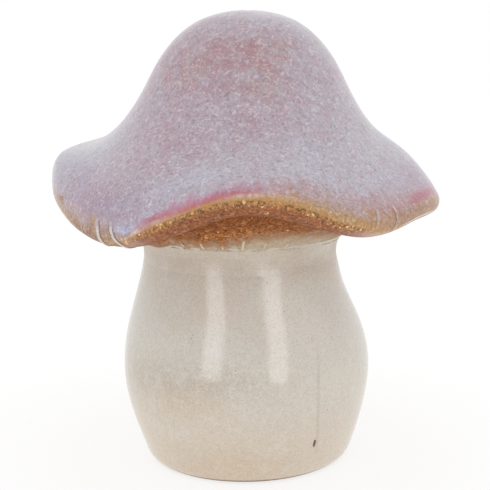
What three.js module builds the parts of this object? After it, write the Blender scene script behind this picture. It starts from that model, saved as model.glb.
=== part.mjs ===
// A glazed stoneware toadstool figurine, slip cast in two hollow pieces that are luted together with
// slip before firing: a bulbous stem on a foot ring, and a bell-shaped cap with a waved brim and short
// gills underneath. Millimetres, +Z up, front towards -Y, origin on the table at the centre of the foot.
import * as THREE from 'three';

// Stem
const FOOT_RADIUS = 31.9; // outer edge of the foot ring on the table
const FOOT_ROUND = 4; // height and reach of the rounding from the foot ring into the wall
const FOOT_FLARE = 20; // lean of the wall outwards just above the rounding, degrees from upright
const FOOT_OVAL = 0.9; // how far the foot is out of round, on each side
const FOOT_OVAL_BEARING = 315; // bearing of the longer diameter
const FOOT_RING_WIDTH = 5; // flat bearing face of the ring
const FOOT_RECESS = 1.8; // depth of the bare floor inside the ring
const BULB_RADIUS = 42.2; // widest part of the stem
const BULB_HEIGHT = 31; // level of the widest part
const NECK_RADIUS = 32.2; // narrowest part of the stem, under the cap
const NECK_LEVEL = 75; // where the wall has drawn in to the neck
const NECK_RIM = 78; // top of the neck, inside the cap
const NECK_LEAN = -2.3; // how far the neck stands off the bulb's centre, along X
const FOOT_LEAN = 0.4; // how far the foot stands off the bulb's centre, along X
const STEM_WALL = 5;
const FLOOR_THICKNESS = 5;
const VENT_RADIUS = 5; // firing vent through the floor

// Luting slip between the neck and the cap
const SLIP_FILM = 1.2; // room that the slip fills above and around the neck
const SLIP_GAP = 0.3; // clearance from the slip's solid to the two castings
const SLIP_BEAD = 3; // reach of the squeezed-out bead, down the neck and out along the cap

// Cap
const CAP_TOP = 150; // table to the top of the crown
const CAP_WALL = 5.5;
const CROWN_SPREAD = 20; // how broad the round top is before it turns down
const CROWN_TURN = 10; // how softly the dome turns down into the flank
const FLANK_RADIUS = 32.5; // where the dome runs into the straight flank
const FLANK_DROP = 22.5; // depth of that place below the top
const FLANK_SLOPE = 26; // degrees from upright
const CAVITY_RUN = 26; // how far the hollow inside follows the flank before it draws in to the neck
const LAND_REACH = 7.5; // width of the plain cone around the neck that carries the gills
const LAND_SLOPE = 36; // rise of that cone outwards, degrees
const GILL_COUNT = 34;
const GILL_DEPTH = 0.9; // height of a gill's ridge
const GILL_FADE = 6; // how far the ridges run on past the cone before they fade out

// Brim
const BRIM_REACH = 64; // usual distance from the axis to where the upper face ends at the lip
const BRIM_RAGGED = 2.5; // how far that distance varies
const BRIM_LEVEL = 91; // usual height of that place above the table
const WAVE_HEIGHT = 7.5; // how far the waves lift and drop it
const BRIM_SWELL = 20; // usual depth of the rolled-over edge, measured back from the lip
const FLANK_RUN = 28; // how far the crown's flank usually holds its slope before it flares into the brim
const LIP_THICKNESS = 7; // the rolled edge of the brim

// The brim at stations round the cap. bearing: degrees from the front, growing towards the right.
// out and up: shares of BRIM_RAGGED and WAVE_HEIGHT. droop: slope of the upper face at the lip, degrees
// below level. swell and run: multiples of BRIM_SWELL and FLANK_RUN.
const BRIM_STATIONS = [
  { bearing: 0, out: 0, up: 0.67, droop: 45, swell: 0.85, run: 1 }, // raised front
  { bearing: 33, out: -0.3, up: -0.4, droop: 48, swell: 1, run: 1 }, // low lobe, front right
  { bearing: 60, out: -0.8, up: -0.07, droop: 42, swell: 1, run: 1 },
  { bearing: 90, out: 0.1, up: -0.07, droop: 57, swell: 1.4, run: 1 }, // right-hand tip
  { bearing: 128, out: -0.4, up: 0.4, droop: 52, swell: 1, run: 1 },
  { bearing: 168, out: 0.2, up: -0.33, droop: 66, swell: 1, run: 1 }, // low lobe, back
  { bearing: 205, out: -0.2, up: 0.33, droop: 54, swell: 1, run: 1.04 },
  { bearing: 240, out: 0.4, up: 0.4, droop: 66, swell: 1.1, run: 1.07 },
  { bearing: 272, out: 0.4, up: 0.4, droop: 90, swell: 1, run: 1.4 }, // rolled-over left side
  { bearing: 303, out: -0.45, up: -0.83, droop: 86, swell: 1, run: 1.18 },
  { bearing: 329, out: 0.65, up: -0.93, droop: 74, swell: 1.1, run: 1.04 }, // lowest lobe, front left
];

// Facets
const CAP_SEGMENTS = 4 * GILL_COUNT; // meridians round the cap, four to a gill
const STEM_SEGMENTS = 2 * GILL_COUNT; // meridians round the stem and the slip

const FULL_TURN = 2 * Math.PI;
const radians = THREE.MathUtils.degToRad;
const point = (radius, height) => new THREE.Vector2(radius, height);

// Derived places
const neckBore = NECK_RADIUS - STEM_WALL;
const socketRadius = NECK_RADIUS + SLIP_FILM;
const socketRoof = NECK_RIM + SLIP_FILM;
const jointLevel = NECK_RIM - SLIP_BEAD; // where the cap's underside ends at the socket
const landDirection = point(Math.cos(radians(LAND_SLOPE)), Math.sin(radians(LAND_SLOPE)));
const underLand = point(landDirection.y, -landDirection.x);
const socketEdge = point(socketRadius, jointLevel);
const beadEdge = socketEdge.clone().addScaledVector(landDirection, SLIP_BEAD);
const landEdge = socketEdge.clone().addScaledVector(landDirection, LAND_REACH);

// The points of a chain of curves, each cut in its number of steps, without repeats where they join.
function chain(...curves) {
  return curves.flatMap(([steps, curve], i) => curve.getPoints(steps).slice(i ? 1 : 0));
}

// A cubic curve that leaves `from` along `leaving` and arrives at `to` along `arriving`.
function bend(from, leaving, to, arriving) {
  return new THREE.CubicBezierCurve(from, from.clone().add(leaving), to.clone().sub(arriving), to);
}

// A unit direction in a meridian, `slope` radians below level, pointing outwards.
const downhill = (slope) => point(Math.cos(slope), -Math.sin(slope));

// A position in space from a bearing, a radius and a height, with the axis moved along X by `shift`.
function around(bearing, radius, height, shift = 0) {
  return new THREE.Vector3(shift + radius * Math.sin(bearing), -radius * Math.cos(bearing), height);
}

// Joins meridians at equal bearings into one closed surface. A meridian runs down the outside and back up
// the inside, either as a loop or from the axis to the axis.
function sweep(segments, meridianAt) {
  const meridians = Array.from({ length: segments }, (_, i) => meridianAt((i / segments) * FULL_TURN));
  const count = meridians[0].length;
  const onAxis = (j) => meridians[0][j].distanceTo(meridians[1][j]) < 1e-6;
  const closed = onAxis(0) && onAxis(count - 1) ? count - 1 : count;
  const index = [];
  for (let i = 0; i < segments; i++) {
    for (let j = 0; j < closed; j++) {
      const here = i * count;
      const next = ((i + 1) % segments) * count;
      const k = (j + 1) % count;
      if (!onAxis(j)) index.push(here + j, next + k, next + j);
      if (!onAxis(k)) index.push(here + j, here + k, next + k);
    }
  }
  const geometry = new THREE.BufferGeometry();
  geometry.setFromPoints(meridians.flat());
  geometry.setIndex(index);
  geometry.computeVertexNormals();
  return geometry;
}

// Stem: a hollow casting, open at the neck, with a floor set up inside the foot ring.
function stemProfile() {
  const upright = (length) => point(0, length);
  const cornerTop = point(FOOT_RADIUS + FOOT_ROUND, FOOT_ROUND);
  const flare = radians(FOOT_FLARE);
  const footLean = point(Math.sin(flare), Math.cos(flare));
  const lowerRise = BULB_HEIGHT - FOOT_ROUND;
  const upperRise = NECK_LEVEL - BULB_HEIGHT;
  const footEdge = point(FOOT_RADIUS, 0);
  const bulb = point(BULB_RADIUS, BULB_HEIGHT);
  const neck = point(NECK_RADIUS, NECK_LEVEL);
  const waist = upperRise * 0.42;
  const outer = chain(
    [3, bend(footEdge, point(FOOT_ROUND / 2, 0), cornerTop, footLean.clone().multiplyScalar(FOOT_ROUND / 2))],
    [5, bend(cornerTop, footLean.clone().multiplyScalar(lowerRise / 3), bulb, upright(lowerRise / 3))],
    [7, bend(bulb, upright(waist), neck, upright(waist))],
  );
  const floorLevel = FOOT_RECESS + FLOOR_THICKNESS;
  const insideCorner = point(FOOT_RADIUS - STEM_WALL / 2, floorLevel);
  const insideBulb = point(BULB_RADIUS - STEM_WALL, BULB_HEIGHT);
  const intoFloor = point(-STEM_WALL, -STEM_WALL);
  const inner = chain(
    [4, bend(point(neckBore, NECK_LEVEL), upright(-waist), insideBulb, upright(-waist))],
    [4, bend(insideBulb, upright((floorLevel - BULB_HEIGHT) / 2), insideCorner, intoFloor)],
  );
  return [
    ...outer,
    point(NECK_RADIUS, NECK_RIM),
    point(neckBore, NECK_RIM),
    ...inner,
    point(VENT_RADIUS, floorLevel),
    point(VENT_RADIUS, FOOT_RECESS),
    point(FOOT_RADIUS - FOOT_RING_WIDTH, FOOT_RECESS),
    point(FOOT_RADIUS - FOOT_RING_WIDTH, 0),
  ].reverse();
}

function stemGeometry() {
  const profile = stemProfile();
  const ovalAt = radians(FOOT_OVAL_BEARING);
  return sweep(STEM_SEGMENTS, (bearing) =>
    profile.map(({ x: radius, y: height }) => {
      const atNeck = THREE.MathUtils.smoothstep(height, BULB_HEIGHT, NECK_LEVEL);
      const atFoot = 1 - THREE.MathUtils.smoothstep(height, 0, BULB_HEIGHT);
      const oval = atFoot * FOOT_OVAL * (radius / FOOT_RADIUS) * Math.cos(2 * (bearing - ovalAt));
      return around(bearing, radius + oval, height, atNeck * NECK_LEAN + atFoot * FOOT_LEAN);
    }),
  );
}

// Luting slip: a film over the neck's rim and down its outside, ending in a squeezed-out bead.
function slipGeometry() {
  const neckSide = NECK_RADIUS + SLIP_GAP;
  const socketSide = socketRadius - SLIP_GAP;
  const cornerDrop = SLIP_GAP * Math.tan(radians(45 + LAND_SLOPE / 2));
  const beadOut = beadEdge.clone().addScaledVector(underLand, SLIP_GAP);
  const beadDown = point(neckSide, jointLevel - SLIP_BEAD);
  const alongLand = landDirection.clone().multiplyScalar(-SLIP_BEAD / 2);
  const bead = bend(beadOut, alongLand, beadDown, point(0, -SLIP_BEAD / 2));
  const profile = [
    point(neckBore + SLIP_GAP, socketRoof - SLIP_GAP),
    point(socketSide, socketRoof - SLIP_GAP),
    point(socketSide, jointLevel - cornerDrop),
    ...bead.getPoints(4),
    point(neckSide, NECK_RIM + SLIP_GAP),
    point(neckBore + SLIP_GAP, NECK_RIM + SLIP_GAP),
  ];
  return sweep(STEM_SEGMENTS, (bearing) => profile.map(({ x, y }) => around(bearing, x, y, NECK_LEAN)));
}

// The brim's sizes at any bearing, on a smooth closed curve through the stations.
function brimAt(bearing) {
  const turn = THREE.MathUtils.euclideanModulo(THREE.MathUtils.radToDeg(bearing), 360);
  const count = BRIM_STATIONS.length;
  const station = (i) => {
    const lap = Math.floor(i / count);
    const one = BRIM_STATIONS[i - lap * count];
    return { ...one, bearing: one.bearing + 360 * lap };
  };
  let i = count - 1;
  while (station(i).bearing > turn) i--;
  const [before, from, to, after] = [i - 1, i, i + 1, i + 2].map(station);
  const span = to.bearing - from.bearing;
  const t = (turn - from.bearing) / span;
  const blend = (size) => {
    const leaving = ((to[size] - before[size]) / (to.bearing - before.bearing)) * span;
    const arriving = ((after[size] - from[size]) / (after.bearing - from.bearing)) * span;
    const rise = to[size] - from[size];
    const cubic = leaving + arriving - 2 * rise;
    return from[size] + t * (leaving + t * (rise - leaving - cubic + t * cubic));
  };
  return {
    reach: BRIM_REACH + BRIM_RAGGED * blend('out'),
    height: BRIM_LEVEL + WAVE_HEIGHT * blend('up'),
    droop: radians(blend('droop')),
    swell: BRIM_SWELL * blend('swell'),
    run: FLANK_RUN * blend('run'),
  };
}

// Cap: crown, brim, rolled lip, hollow underside with gills, socket for the neck, and the cavity inside.
function capMeridian(bearing) {
  const brim = brimAt(bearing);
  const flankDirection = downhill(Math.PI / 2 - radians(FLANK_SLOPE));
  const lipDirection = downhill(brim.droop);
  const inward = point(-Math.sin(brim.droop), -Math.cos(brim.droop));
  const top = point(0, CAP_TOP);
  const flank = point(FLANK_RADIUS, CAP_TOP - FLANK_DROP);
  const lip = point(brim.reach, brim.height);
  const crownTurn = flankDirection.clone().multiplyScalar(CROWN_TURN);
  const flankRun = flankDirection.clone().multiplyScalar(brim.run);
  const lipSwell = lipDirection.clone().multiplyScalar(brim.swell);
  const upperFace = chain(
    [6, bend(top, point(CROWN_SPREAD, 0), flank, crownTurn)],
    [8, bend(flank, flankRun, lip, lipSwell)],
  );
  const roll = [1, 2, 3, 4].map((i) => {
    const angle = (i / 5) * Math.PI;
    const outOfLip = lipDirection.clone().multiplyScalar(Math.sin(angle));
    const acrossLip = inward.clone().multiplyScalar(1 - Math.cos(angle));
    return lip.clone().addScaledVector(outOfLip.add(acrossLip), LIP_THICKNESS / 2);
  });
  const lipUnder = lip.clone().addScaledVector(inward, LIP_THICKNESS);
  const hollow = (lipUnder.x - landEdge.x) / 3;
  const intoHollow = lipDirection.clone().multiplyScalar(-hollow);
  const underside = chain(
    [5, bend(lipUnder, intoHollow, landEdge, landDirection.clone().multiplyScalar(-hollow))],
    [2, new THREE.LineCurve(landEdge, beadEdge)],
    [1, new THREE.LineCurve(beadEdge, socketEdge)],
  );
  const ridge = (GILL_DEPTH / 2) * (1 + Math.cos(GILL_COUNT * bearing));
  for (const place of underside) {
    const grow = THREE.MathUtils.smoothstep(place.x, beadEdge.x, (beadEdge.x + landEdge.x) / 2);
    const fade = 1 - THREE.MathUtils.smoothstep(place.x, landEdge.x, landEdge.x + GILL_FADE);
    place.y -= ridge * grow * fade;
  }
  const flankInside = flank.clone().add(point(flankDirection.y, -flankDirection.x).multiplyScalar(CAP_WALL));
  const bore = point(neckBore, socketRoof);
  const topInside = point(0, CAP_TOP - CAP_WALL);
  const cavity = chain(
    [3, bend(bore, point(0, CAP_WALL * 3), flankInside, flankDirection.clone().multiplyScalar(-CAVITY_RUN))],
    [3, bend(flankInside, crownTurn.clone().negate(), topInside, point(CAP_WALL / 2 - CROWN_SPREAD, 0))],
  );
  // The socket and the bore follow the neck, which stands a little off the crown's axis.
  const { smoothstep } = THREE.MathUtils;
  const offNeck = (place) => NECK_LEAN * (1 - smoothstep(place.x, socketRadius, brim.reach));
  const offBore = (place) => NECK_LEAN * (1 - smoothstep(place.y, socketRoof, flank.y));
  underside.push(point(socketRadius, socketRoof));
  return [
    ...[...upperFace, ...roll].map((place) => around(bearing, place.x, place.y)),
    ...underside.map((place) => around(bearing, place.x, place.y, offNeck(place))),
    ...cavity.map((place) => around(bearing, place.x, place.y, offBore(place))),
  ];
}

const glaze = (color, roughness) => new THREE.MeshStandardMaterial({ color, roughness, metalness: 0 });

function piece(name, geometry, material) {
  const mesh = new THREE.Mesh(geometry, material);
  mesh.name = name;
  return mesh;
}

const toadstool = new THREE.Group();
toadstool.add(
  piece('stem', stemGeometry(), glaze('#cfc6b6', 0.2)),
  piece('luting_slip', slipGeometry(), glaze('#bfb196', 0.45)),
  piece('cap', sweep(CAP_SEGMENTS, capMeridian), glaze('#bca6b8', 0.35)),
);

export default toadstool;
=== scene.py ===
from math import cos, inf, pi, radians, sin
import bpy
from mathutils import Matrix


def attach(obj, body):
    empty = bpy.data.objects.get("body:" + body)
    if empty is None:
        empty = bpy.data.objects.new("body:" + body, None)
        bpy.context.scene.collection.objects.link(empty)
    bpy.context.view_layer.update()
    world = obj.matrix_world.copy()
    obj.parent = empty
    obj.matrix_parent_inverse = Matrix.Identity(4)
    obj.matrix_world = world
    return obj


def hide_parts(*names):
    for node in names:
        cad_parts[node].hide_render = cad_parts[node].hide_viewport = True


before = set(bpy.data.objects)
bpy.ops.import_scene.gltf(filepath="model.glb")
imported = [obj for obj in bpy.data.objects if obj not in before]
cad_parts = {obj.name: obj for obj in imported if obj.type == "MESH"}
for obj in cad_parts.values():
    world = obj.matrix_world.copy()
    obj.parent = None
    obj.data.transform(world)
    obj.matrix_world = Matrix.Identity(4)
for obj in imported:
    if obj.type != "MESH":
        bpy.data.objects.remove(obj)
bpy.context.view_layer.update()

# A glazed stoneware toadstool: a lilac reactive glaze on the cap that breaks to amber at the lip and
# brown underneath, and a glossy cream glaze on the stem. Lengths are millimetres and angles degrees,
# unless noted. Bearings turn from the front (-Y) towards the right (+X).
from types import SimpleNamespace

import bmesh
import bpy
import numpy as np
from mathutils import Matrix, Vector

MM = 0.001

# Sizes of the castings, the same as in the solids
FOOT_RADIUS, FOOT_ROUND, FOOT_FLARE = 31.9, 4.0, 20.0
FOOT_OVAL, FOOT_OVAL_BEARING = 0.9, 315.0
FOOT_RING_WIDTH, FOOT_RECESS = 5.0, 1.8
BULB_RADIUS, BULB_HEIGHT = 42.2, 31.0
NECK_RADIUS, NECK_LEVEL, NECK_RIM = 32.2, 75.0, 78.0
NECK_LEAN, FOOT_LEAN = -2.3, 0.4
STEM_WALL, FLOOR_THICKNESS, VENT_RADIUS = 5.0, 5.0, 5.0
SLIP_FILM, SLIP_GAP, SLIP_BEAD = 1.2, 0.3, 3.0
CAP_TOP, CAP_WALL = 150.0, 5.5
CROWN_SPREAD, CROWN_TURN = 20.0, 10.0
FLANK_RADIUS, FLANK_DROP, FLANK_SLOPE = 32.5, 22.5, 26.0
CAVITY_RUN = 26.0
LAND_REACH, LAND_SLOPE = 7.5, 36.0
GILL_COUNT, GILL_DEPTH, GILL_FADE = 34, 0.9, 6.0
BRIM_REACH, BRIM_RAGGED = 64.0, 2.5
BRIM_LEVEL, WAVE_HEIGHT = 91.0, 7.5
BRIM_SWELL, FLANK_RUN, LIP_THICKNESS = 20.0, 28.0, 7.0

# Small departures from the solids: the foot sits further to the right, fading out up to a level; the gills
# are turned; the slip is drawn out thin along the cap and down the neck, and its edges sink in
FOOT_SETTLE, SETTLE_TOP = 0.65, 26.0
GILL_TURN = 2.4
FILLET_OUT, FILLET_DOWN, FILLET_SINK = 2.0, 8.0, 0.4

# The brim round the cap: bearing, out and up (shares of BRIM_RAGGED and WAVE_HEIGHT), droop below level,
# swell and run (multiples of BRIM_SWELL and FLANK_RUN)
BRIM_STATIONS = [
    (0, 0, 0.67, 45, 0.85, 1),
    (33, -0.3, -0.4, 48, 1, 1),
    (60, -0.8, -0.07, 42, 1, 1),
    (90, 0.1, -0.07, 57, 1.4, 1),
    (128, -0.4, 0.4, 52, 1, 1),
    (168, 0.2, -0.33, 66, 1, 1),
    (205, -0.2, 0.33, 54, 1, 1.04),
    (240, 0.4, 0.4, 66, 1.1, 1.07),
    (272, 0.4, 0.4, 90, 1, 1.4),
    (303, -0.45, -0.83, 86, 1, 1.18),
    (329, 0.65, -0.93, 74, 1.1, 1.04),
]

# Columns of the grids round each piece, steps along the stretches of their profiles, and the angle from
# which an edge is shaded as a sharp one
CAP_COLUMNS, STEM_COLUMNS, SLIP_COLUMNS = 22 * GILL_COUNT, 640, 480
CROWN_STEPS, UPPER_STEPS, ROLL_STEPS, UNDER_STEPS, LAND_STEPS, CAVITY_STEPS = 24, 50, 16, 18, 8, 3
FOOT_STEPS, BULB_STEPS, NECK_STEPS, BORE_STEPS = 14, 36, 60, 6
FILLET_STEPS = 20
SHARP_EDGE = 50

# Unevenness as sums of waves round the axis: size, count, millimetres along for each radian, phase
CAP_WAVES = [(1, 3, 23, 1), (0.7, 5, -17, 2.1), (0.6, 2, 11, 0), (0.35, 11, 6, 0)]
STEM_WAVES = [(1, 2, 14, 0), (0.6, 3, -9, 1.2), (0.4, 5, 7, 0.5)]
SLIP_WAVES = [(0.5, 9, inf, 0.6), (0.4, 17, inf, 2), (0.3, 31, inf, 0)]
GILL_WANDER = [(0.25, 5, inf, 1), (0.2, 9, inf, 0.4)]
GILL_SIZES = [(0.2, 7, inf, 2)]
DASH_ENDS = [(1.5, 11, inf, 0.7)]
DASH_STRENGTHS = [(0.125, 7, inf, 2.871), (0.125, 19, inf, 0.529)]


# Shapes and patterns
def smoothstep(value, low, high):
    t = np.clip((value - low) / (high - low), 0, 1)
    return t * t * (3 - 2 * t)


def plateau(value, start, full, leave, end):
    """1 from full to leave, 0 before start and after end, smooth between."""
    return smoothstep(value, start, full) * (1 - smoothstep(value, leave, end))


def turn_from(bearing, at=0.0):
    """How far one bearing lies from another, from -180 to 180."""
    return (bearing - at + 180) % 360 - 180


def spot(bearing, place, at_bearing, at_place, width, height):
    """A soft round patch, by bearing and by place along the meridian."""
    turn = turn_from(bearing, at_bearing)
    return np.exp(-((turn / width) ** 2) - ((place - at_place) / height) ** 2)


def patchwork(patches, bearing, place, most=1.0):
    """The weights of all the patches at each point, up to most."""
    total = np.zeros_like(place)
    for at_bearing, at_place, width, height, weight in patches:
        total = total + weight * spot(bearing, place, at_bearing, at_place, width, height)
    return np.clip(total, 0, most)


def waves(terms, turn, place=0.0):
    return sum(size * np.sin(count * turn + place / run + phase) for size, count, run, phase in terms)


def through_stations(stations, bearing):
    """Values at each bearing on a smooth closed curve through the stations."""
    table = np.array(stations, float)
    angle = np.concatenate([table[:, 0] - 360, table[:, 0], table[:, 0] + 360])
    value = np.concatenate([table[:, 1:]] * 3)
    i = np.searchsorted(angle, bearing, side="right") - 1
    span = (angle[i + 1] - angle[i])[:, None]
    t = ((bearing - angle[i]) / (angle[i + 1] - angle[i]))[:, None]
    leaving = (value[i + 1] - value[i - 1]) / (angle[i + 1] - angle[i - 1])[:, None] * span
    arriving = (value[i + 2] - value[i]) / (angle[i + 2] - angle[i])[:, None] * span
    rise = value[i + 1] - value[i]
    cubic = leaving + arriving - 2 * rise
    return (value[i] + t * (leaving + t * (rise - leaving - cubic + t * cubic))).T


def bend(start, leaving, end, arriving, steps):
    """Points of a cubic curve; each argument is a pair (or rows of pairs, one per meridian)."""
    corners = (start, leaving, end, arriving)
    start, leaving, end, arriving = (np.atleast_2d(corner)[:, None, :] for corner in corners)
    t = np.linspace(0, 1, steps + 1)[None, :, None]
    one, two = start + leaving, end - arriving
    return (1 - t) ** 3 * start + 3 * t * (1 - t) ** 2 * one + 3 * t * t * (1 - t) * two + t**3 * end


def chain(count, *curves):
    """Joins curves into one meridian per bearing, leaving out the points that repeat."""
    rows = [np.broadcast_to(c, (count,) + c.shape[1:])[:, (1 if i else 0):] for i, c in enumerate(curves)]
    return np.concatenate(rows, axis=1)


def swept(meridian, bearing, shift=0.0):
    """Positions from meridians (radius, height) at bearings in radians."""
    radius, height = meridian[..., 0], meridian[..., 1]
    turn = bearing[:, None]
    return np.stack([shift + radius * np.sin(turn), -radius * np.cos(turn), height], -1)


def turned(profile, columns):
    """A profile repeated round the axis, with the bearings in radians and in degrees at each point."""
    bearing = np.arange(columns) * 2 * pi / columns
    meridian = np.broadcast_to(profile, (columns,) + profile.shape).copy()
    return meridian, bearing, np.degrees(np.broadcast_to(bearing[:, None], meridian.shape[:2]))


def grid_normals(points, loop):
    """Outward normals of a swept grid whose meridians run down the outside."""
    around = np.roll(points, -1, 0) - np.roll(points, 1, 0)
    if loop:
        along = np.roll(points, -1, 1) - np.roll(points, 1, 1)
    else:
        along = np.gradient(points, axis=1)
    normal = np.cross(along, around)
    size = np.linalg.norm(normal, axis=-1, keepdims=True)
    return normal / np.maximum(size, 1e-9)


def drop_loose(mesh):
    """Removes the copies of the two axis points that no face uses."""
    work = bmesh.new()
    work.from_mesh(mesh)
    bmesh.ops.delete(work, geom=[v for v in work.verts if not v.link_faces], context="VERTS")
    work.to_mesh(mesh)
    work.free()


def swept_mesh(name, points, loop, attributes):
    """One closed mesh from a swept grid. Without loop, the first and last points lie on the axis."""
    count, rows = points.shape[:2]
    column = np.arange(count)[:, None] * rows
    beside = np.roll(column, -1, 0)
    row = np.arange(rows if loop else rows - 1)
    below = (row + 1) % rows
    quads = np.stack([column + row, column + below, beside + below, beside + row], -1)
    if loop:
        faces = quads.reshape(-1, 4).tolist()
    else:
        first, last = 0, rows - 1
        faces = quads[:, 1:-1].reshape(-1, 4).tolist()
        faces += [[first, int(q[1]), int(q[2])] for q in quads[:, 0]]
        faces += [[int(q[0]), last, int(q[3])] for q in quads[:, -1]]
    mesh = bpy.data.meshes.new(name)
    mesh.from_pydata((points.reshape(-1, 3) * MM).tolist(), [], faces)
    for key, values in attributes.items():
        values = np.asarray(values, np.float32)
        kind = "FLOAT_VECTOR" if values.ndim == 3 else "FLOAT"
        layer = mesh.attributes.new(key, kind, "POINT")
        layer.data.foreach_set("vector" if values.ndim == 3 else "value", values.ravel())
    if not loop:
        drop_loose(mesh)
    mesh.shade_smooth()
    mesh.set_sharp_from_angle(angle=radians(SHARP_EDGE))
    made = bpy.data.objects.new(name, mesh)
    bpy.context.collection.objects.link(made)
    return made


# The joint between the castings, the rows of the cap's grid where its stretches end, and the number of
# rows on the outside of the stem
neck_bore = NECK_RADIUS - STEM_WALL
joint_level = NECK_RIM - SLIP_BEAD
socket_radius, socket_roof = NECK_RADIUS + SLIP_FILM, NECK_RIM + SLIP_FILM
land_direction = np.array([cos(radians(LAND_SLOPE)), sin(radians(LAND_SLOPE))])
socket_edge = np.array([socket_radius, joint_level])
bead_edge = socket_edge + SLIP_BEAD * land_direction
land_edge = socket_edge + LAND_REACH * land_direction
flank_level = CAP_TOP - FLANK_DROP
lip_row = CROWN_STEPS + UPPER_STEPS
tip_row, roll_end = lip_row + ROLL_STEPS // 2, lip_row + ROLL_STEPS
land_end = roll_end + UNDER_STEPS + LAND_STEPS
outer_rows = FOOT_STEPS + BULB_STEPS + NECK_STEPS + 1

# The glaze round the lip, by bearing: where the lilac starts to thin, where it has turned to ochre and
# where the brown begins, each as a distance past the lip's outermost line (negative is up the cap); then
# how rosy the thinned glaze is, and how far from the neck the brown turns to cream underneath.
GLAZE_EDGE = [
    (0, -11.5, -4.6, -3.9, 0.6, 6.8),
    (8, -14.5, -5.4, -4.2, 0.3, 8.8),
    (16, -17, -6, -4, 0.1, 9.2),
    (24, -18, -5.6, -3.1, 0, 8.8),
    (32, -17.5, -5, -2.4, 0.1, 8.4),
    (40, -17.5, -4.4, 0, 0.2, 8),
    (48, -15.5, -2.6, 0.6, 0.15, 7),
    (64, -12.5, -4, 0.6, 0.1, 6),
    (80, -11, -4.2, 1.6, 0.1, 6),
    (104, -10, -3.4, 1, 0, 6),
    (128, -12, -4.8, -3, 0.8, 8),
    (150, -11, -4.2, -1.5, 0.2, 8.5),
    (168, -10, -3.2, 2, 0, 7),
    (188, -11, -4, -1, 0.2, 7),
    (206, -12, -5.2, -3.8, 0.9, 8),
    (226, -13, -4.8, -3, 0.4, 7),
    (250, -12, -4.4, 1, 0, 6),
    (284, -10.5, -6, 2.5, 0, 4),
    (300, -11, -5.6, 2, 0, 0),
    (310, -12, -5, 2, 0, 0),
    (318, -12.5, -4.6, 1, 0, 1),
    (323, -8, -4.2, -2.4, 0, 3),
    (328, -6, -4.6, -3.5, 0, 3.4),
    (333, -8.2, -5.6, -5.3, 0.5, 4),
    (341, -12.6, -5.9, -5.7, 1, 4.2),
    (350, -10.6, -5.5, -5.2, 1, 5.4),
]

# Limits of how far the lilac has turned to ochre, and values that stand for no cream and no drip nearby
TINT_LIMITS = (-0.5, 1.5)
NO_CREAM, NO_DRIP = -20.0, 9.0

# Drips of glaze over the lip: bearing, where one starts and ends past the lip's outermost line, how many
# degrees it drifts on the way, width and height; then the stretch over which one rises and that over
# which it ends, how its drift grows, and the height from which its colour is full
DRIPS = [
    (-43.8, -10.5, 0, 4, 1, 0.45),
    (-37.8, -9, 0.8, 6.6, 0.8, 0.45),
    (-52.5, -9, -3, 0.8, 0.9, 0.08),
    (38.8, -10, -3, -2.8, 0.8, 0.12),
    (45.6, -9.5, 0.8, -3.2, 0.6, 0.22),
    (149, -8, -0.5, 2.6, 0.8, 0.22),
    (158, -10, 1.4, 3, 0.9, 0.35),
    (262, -9, -1, 2.6, 0.8, 0.24),
]
DRIP_RISE, DRIP_TIP, DRIP_CURVE, DRIP_FULL = 3.0, (-0.6, 0.4), 1.5, 0.4

# Marks in the cap's glaze: bearing, place, width in degrees, height and weight. The place is a height
# above the table for the rose patches and the high haze (a pale haze, partly painted sheen), a distance
# past the start of the brown for the pale lines (partly a painted highlight), and a distance past the lip's
# outermost line for the others.
ROSE_PATCHES = [
    (-10, 134, 24, 8, 1), (20, 137, 18, 6, 0.8), (-38, 130, 16, 8, 0.75), (4, 127, 20, 5, 0.6),
    (14, 121, 8, 5, 0.5), (2, 115, 8, 4, 0.5), (-34, 111, 12, 7, 0.4), (105, 132, 24, 8, 0.7),
    (152, 128, 28, 8, 0.8), (200, 135, 24, 8, 0.7), (245, 126, 20, 8, 0.6), (288, 133, 18, 8, 0.6),
]
# The high haze is a pale blue haze, partly painted sheen
HIGH_HAZE_AND_SHEEN = [(-74, 104, 17, 9, 1.25), (96, 104, 14, 9, 1), (22, 104, 9, 5, 0.6)]
# Pale lines at the glaze's edge, partly a painted highlight
PALE_AND_HIGHLIGHT_LINES = [(-28, -0.7, 8, 0.5, 1), (5, -1.9, 7, 0.6, 0.8), (-1, -1.2, 4, 0.5, 0.6)]
RED_STREAKS = [
    (-24, -8, 5, 1.4, 0.8), (-18, -6.9, 5, 0.9, 0.5), (-8, -6.8, 6, 1.3, 0.9), (-1, -6.2, 4, 1, 0.8),
    (46, -6.6, 5, 1.2, 0.3), (57, -6.8, 4, 1.4, 1), (65, -7.3, 5, 1.8, 1.3), (73, -7.8, 5, 1.5, 0.9),
    (84, -7.4, 8, 1.6, 0.5), (98, -6.8, 9, 1.5, 0.35), (124, -6.4, 8, 1.6, 0.8),
    (204, -6.8, 9, 1.5, 0.8),
]
# The low haze is a pale blue haze, partly painted sheen
LOW_HAZE_AND_SHEEN = [(-22, -17, 11, 5, 0.9), (-7, -16.6, 9, 4, 0.5), (-27, -9.5, 8, 3, 0.4)]
BLUE_POOLS = [(-31.2, -5.3, 7.2, 2.3, 1.4), (170, -6, 8, 3, 0.8)]
# Painted shade in mauve on the two front lobes
MAUVE_PAINTED_SHADE_PATCHES = [(-46, -13, 18, 8, 1), (70, -10, 16, 9, 1.3)]
BURNT_SPOTS = [(-67.6, -8.1, 3.4, 1.4, 1)]
FAIR_BANDS = [(-31, -1.5, 5, 2, 0.6), (37, 0, 8, 1.7, 1)]
# Gaps and tongues in the toasted brown, which is partly painted shade
TOAST_AND_SHADE_GAPS = [(-41.5, -2, 2.2, 20, 0.8)]
TOAST_AND_SHADE_TONGUES = [(-47.2, -7.6, 1.8, 3.6, 0.4)]
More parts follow.
